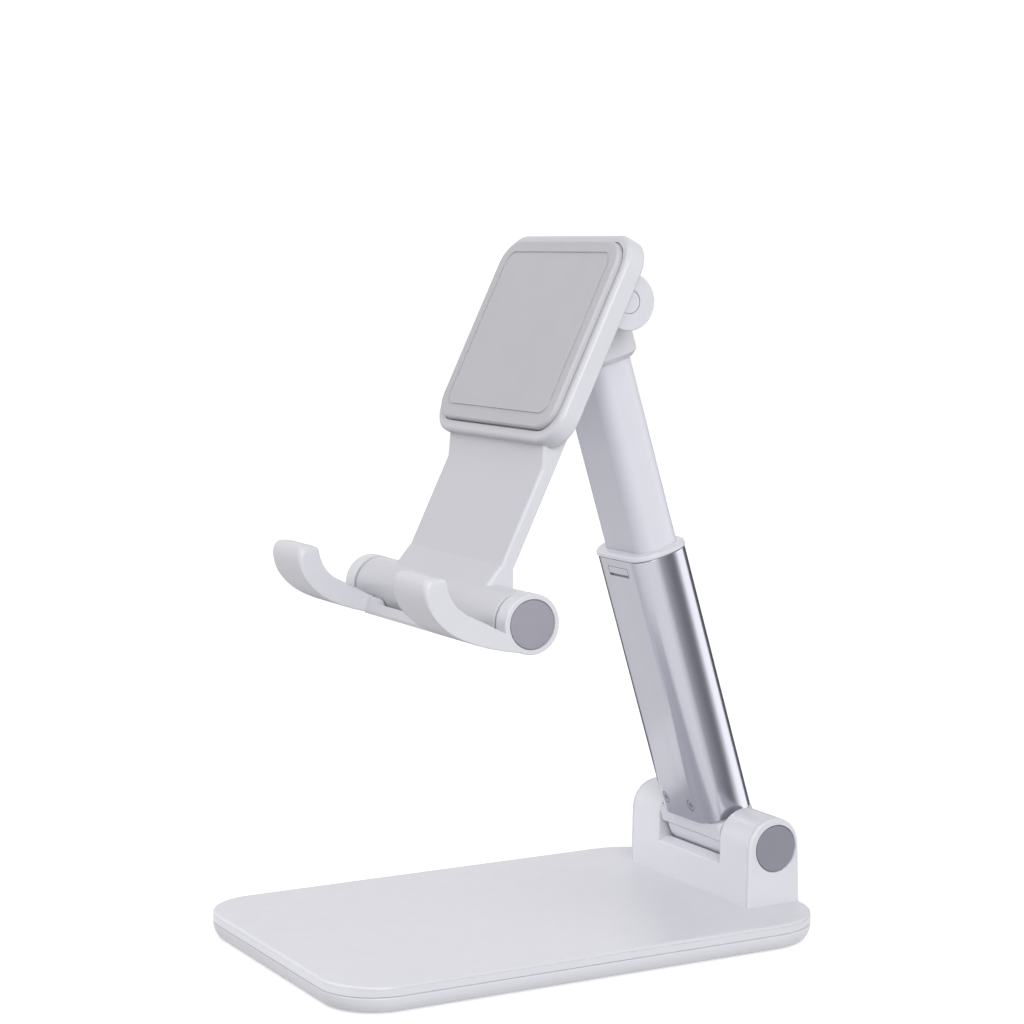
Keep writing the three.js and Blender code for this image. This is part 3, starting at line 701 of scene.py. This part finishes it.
def hook_levels(x0, x1, low_radius, high_radius):
    """Rings near each end lie close together, so that the tip's corners can be rounded in plan."""
    levels = dict(round_over(x0, x1, low_radius, high_radius, 5))
    for offset in (0.6, 0.85, 1.1, 1.4):
        if low_radius:
            levels[x0 + offset] = 0.0
        if high_radius:
            levels[x1 - offset] = 0.0
    return sorted(levels.items())


def hook_part(points, x0, x1, low_radius, high_radius):
    ring = sideways(points)
    plan_radius = 1.4
    low_face, high_face = HOOK_OUTER - HOOK_WIDTH, HOOK_OUTER
    rings = []
    for x, inset in hook_levels(x0, x1, low_radius, high_radius):
        edge = max(0.0, min(x - low_face, high_face - x))
        away = max(0.0, plan_radius - edge)
        pull = plan_radius - math.sqrt(max(0.0, plan_radius ** 2 - away ** 2))
        moved = []
        for y, z in shrink(ring, inset):
            tip = min(1.0, max(0.0, (-y - 20.5) / 3))
            ease = tip * tip * (3 - 2 * tip)
            moved.append((x, y + pull * ease * 0.9, z - pull * ease * 0.5))
        rings.append(moved)
    return solid(rings)


def hook():
    finger = hook_points() + [(6.4, SHELF), (0.0, SHELF)]
    start = math.asin(SHELF / HOOK_RING)
    around = [start + (1.5 * math.pi - start) * i / 40 for i in range(40)]
    ring = [(HOOK_RING * math.cos(t), HOOK_RING * math.sin(t)) for t in around]
    inner = hook_part(finger, HOOK_OUTER - HOOK_WIDTH, HOOK_OUTER - 2, 0.4, 0)
    outer = hook_part(hook_points() + ring, HOOK_OUTER - HOOK_EAR, HOOK_OUTER, 0.2, 0.3)
    return join(outer, inner)


def hook_pad(grow):
    """The silicone strip in a hook; grown, it is also the recess that it lies in."""
    proud = 3.0 if grow else 0.25
    curve = [(6.9 - grow, SHELF)] + bezier(*HOOK_CURVE, 20)[:17]
    lower = shrink(curve + [(30, 30), (0, 30)], -0.6 - grow)[: len(curve)]
    upper = shrink(curve + [(30, 30), (0, 30)], proud)[: len(curve)]
    ring = sideways(lower + upper[::-1])
    middle = HOOK_OUTER - HOOK_WIDTH / 2
    half = 5 + grow
    return crosswise(lambda inset: shrink(ring, inset), round_over(middle - half, middle + half, 0, 0))


def hook_bar():
    half = HOOK_OUTER - HOOK_WIDTH + 0.8
    top = SHELF - 0.3
    bridge_points = [(1.8, -6.6), (1.8, top), (5.9, top), (5.6, -7.1), (4.9, -7.6)]
    bridge = crosswise(lambda inset: sideways(bridge_points), [(-half, 0), (half, 0)])
    body = join(*both_sides(hook), bridge)
    inside = HOOK_OUTER - HOOK_EAR
    recess_radius = CAP_RADIUS["hook"] + CAP_GAP["hook"]
    notch = facing(
        lambda inset: rounded_rect(35, 6, 0.9, inset, 8), [(0, 0), (7, 0)], centre_z=top - 1.2 + 3
    )
    cut(
        body,
        bar(BARREL_RADIUS + 0.3, -inside, inside),
        box(-inside, inside, -2, 20, -20, 20),
        notch,
        bar(BORE, -40, 40),
        *both_sides(lambda: bar(recess_radius, HOOK_OUTER - CAP_DEPTH, HOOK_OUTER + 2)),
        *both_sides(lambda: hook_pad(0.25)),
    )
    finish("hook_bar", body, TRAY, "hooks", WHITE, bevel=0.12)
    for name, pad in zip(("hook_pad_right", "hook_pad_left"), both_sides(lambda: hook_pad(0.0))):
        finish(name, pad, TRAY, "hooks", SILICONE, bevel=0.12)


# ---------------------------------------------------------------- light, floor and camera
def area_light(name, place, target, size, power):
    data = bpy.data.lights.new(name, "AREA")
    data.shape = "RECTANGLE"
    data.size, data.size_y = size
    data.energy = power
    light = add_object(name, data)
    light.location = place
    light.rotation_euler = (Vector(target) - Vector(place)).to_track_quat("-Z", "Y").to_euler()


def sheet(name, width, height, place, facing_point, material):
    """A flat studio sheet that looks at a point."""
    w, h = width / 2, height / 2
    obj = mesh_object(name, [(-w, -h, 0), (w, -h, 0), (w, h, 0), (-w, h, 0)], [(0, 1, 2, 3)])
    obj.data.materials.append(material)
    obj.location = place
    obj.rotation_euler = (Vector(facing_point) - Vector(place)).to_track_quat("Z", "Y").to_euler()
    return obj


def hide_from(obj, *rays):
    for ray in rays:
        setattr(obj, "visible_" + ray, False)


def surround():
    """A low ring of bright and dark studio cards that only the glossy parts mirror.
    Each stop is (azimuth from the front, brightness)."""
    stops = [(-90, 0.2), (-83, 0.25), (-77, 1.05), (-58, 1.05), (-42, 0.86), (-22, 1.05)]
    stops += [(10, 1.3), (80, 1.32), (100, 1.0), (112, 0.5), (122, 0.22), (131.5, 0.16)]
    stops += [(135, 1.9), (178, 1.9), (184, 0.12), (269, 0.12)]
    inner, outer, height, steps = 0.08, 1.5, 0.19, 96
    verts = []
    for radius, z in ((inner, 0.002), (outer, 0.002), (outer, height)):
        for i in range(steps):
            angle = 2 * math.pi * i / steps
            verts.append((radius * math.cos(angle), radius * math.sin(angle), z))
    faces = []
    for ring in (0, steps):
        for i in range(steps):
            j = (i + 1) % steps
            faces.append((ring + i, ring + j, ring + steps + j, ring + steps + i))
    material, tree, principled = shader("surround")
    place = node(tree, "ShaderNodeTexCoord")
    wheel = node(tree, "ShaderNodeTexGradient", gradient_type="RADIAL")
    ramp = node(tree, "ShaderNodeValToRGB")
    tree.links.new(place.outputs["Object"], wheel.inputs["Vector"])
    tree.links.new(wheel.outputs["Fac"], ramp.inputs["Fac"])
    tree.links.new(ramp.outputs["Color"], principled.inputs["Emission Color"])
    principled.inputs["Base Color"].default_value = (0, 0, 0, 1)
    principled.inputs["Specular IOR Level"].default_value = 0.0
    principled.inputs["Emission Strength"].default_value = 2.0
    elements = ramp.color_ramp.elements
    while len(elements) < len(stops):
        elements.new(0.5)
    for element, (azimuth, brightness) in zip(elements, stops):
        element.position = (azimuth + 90) / 360
        cool = 1.1 if brightness < 1.0 else 1.0
        element.color = (brightness / 2, brightness / 2, brightness / 2 * cool, 1)
    cards = mesh_object("surround", verts, faces)
    cards.data.materials.append(material)
    cards.location = (0, 0.04, 0)
    hide_from(cards, "camera", "diffuse", "transmission", "shadow")


def studio():
    white, _, principled = shader("floor")
    principled.inputs["Base Color"].default_value = (0.82, 0.82, 0.82, 1)
    principled.inputs["Emission Color"].default_value = (1, 1, 1, 1)
    principled.inputs["Emission Strength"].default_value = 0.42
    principled.inputs["Roughness"].default_value = 0.9
    principled.inputs["Specular IOR Level"].default_value = 0.0
    floor = sheet("floor", 12, 12, (0, 0, 0), (0, 0, 1), white)
    hide_from(floor, "diffuse")
    black, _, principled = shader("flag")
    principled.inputs["Base Color"].default_value = (0.05, 0.05, 0.05, 1)
    principled.inputs["Roughness"].default_value = 0.9
    world = bpy.data.worlds.new("studio")
    world.use_nodes = True
    tree = world.node_tree
    place = node(tree, "ShaderNodeTexCoord")
    split = node(tree, "ShaderNodeSeparateXYZ")
    tree.links.new(place.outputs["Generated"], split.inputs["Vector"])
    # dimmer below the horizon, like the shade under a table, and dimmer overhead
    below = map_range(tree, split.outputs["Z"], (-0.3, -0.05), (0.5, 1.06))
    above = map_range(tree, split.outputs["Z"], (0.3, 1.0), (1.0, 0.4))
    both = node(tree, "ShaderNodeMath", operation="MULTIPLY")
    tree.links.new(below, both.inputs[0])
    tree.links.new(above, both.inputs[1])
    tree.links.new(both.outputs["Value"], tree.nodes["Background"].inputs["Strength"])
    tree.nodes["Background"].inputs["Color"].default_value = (1, 1, 1, 1)
    SCENE.world = world
    middle = (0, 0, 0.06)
    area_light("key", (1.1, -0.3, 0.5), middle, (0.7, 0.7), 8.3)
    area_light("fill", (-0.33, -0.78, 0.9), middle, (0.7, 0.7), 3.5)
    # a dark card in front, which keeps pale light off the faces that look forwards
    flag = sheet("flag", 1.3, 0.4, (0, -0.6, 0.21), (0, 0, 0.21), black)
    hide_from(flag, "camera", "glossy", "transmission", "shadow")
    surround()
    SCENE.view_settings.view_transform = "Standard"


def front_fill(strength, names):
    """Soft, shadowless light from the front, without gloss, which reaches only the named pieces."""
    data = bpy.data.lights.new("front_fill", "SUN")
    data.energy = strength
    data.angle = math.radians(40)
    data.use_shadow = False
    lamp = add_object("front_fill", data)
    lamp.rotation_euler = Vector((-0.45, -0.85, 0.35)).to_track_quat("Z", "Y").to_euler()
    hide_from(lamp, "glossy")
    lit = bpy.data.collections.new("front_fill_lit")
    for name in names:
        lit.objects.link(bpy.data.objects[name + "_fine"])
    lamp.light_linking.receiver_collection = lit


def camera():
    """The photo's camera, fitted to the stand's edges."""
    azimuth, elevation = math.radians(61.12), math.radians(6.12)
    distance, sideways_shift, target_height = 0.51708, -0.00035, 0.08969
    focal_ratio = 2501.22 / 1024
    level = math.cos(elevation)
    back = Vector((math.sin(azimuth) * level, -math.cos(azimuth) * level, math.sin(elevation)))
    right = Vector((math.cos(azimuth), math.sin(azimuth), 0))
    data = bpy.data.cameras.new("camera")
    data.sensor_width = 36
    data.lens = 36 * focal_ratio
    data.clip_start = 0.01
    view = add_object("camera", data)
    view.location = right * sideways_shift + Vector((0, 0, target_height)) + back * distance
    view.rotation_euler = back.to_track_quat("Z", "Y").to_euler()
    SCENE.camera = view


def small_pieces():
    """Every CAD piece that nothing has replaced yet, with its edges rounded."""
    finishes = {
        "steel": (STEEL, "steel"),
        "nylon": (NYLON, "nylon"),
        "white_shell": (WHITE, "white_shell"),
    }
    slots = {part["node"]: part["material_slot"] for part in frame["record"]["subparts"]}
    for name, cad in sorted(frame["nodes"].items()):
        if cad.hide_render:
            continue
        material, slot = finishes[slots[name]]
        refine(name, SCREW_STEEL if "tube_screw" in name else material)


camera()
studio()
base_top_shell()
base_bottom_tray()
base_mat()
hinge_cap("base_hinge_cap", CAP_RADIUS["base"], TOWER_OUTER, HINGE, "base", DARK_GREY)
knuckle()
lower_tube()
collar()
sliding_tube()
arm_head()
tray_plate()
rest_pad()
hook_bar()
hinge_cap("hook_hinge_cap", CAP_RADIUS["hook"], HOOK_OUTER, TRAY, "hooks", GREY)
small_pieces()
front_fill(1.5, ("base_top_shell", "lower_knuckle", "lower_tube_collar"))
front_fill(0.6, ("sliding_tube", "arm_head", "hook_bar", "base_bottom_tray"))
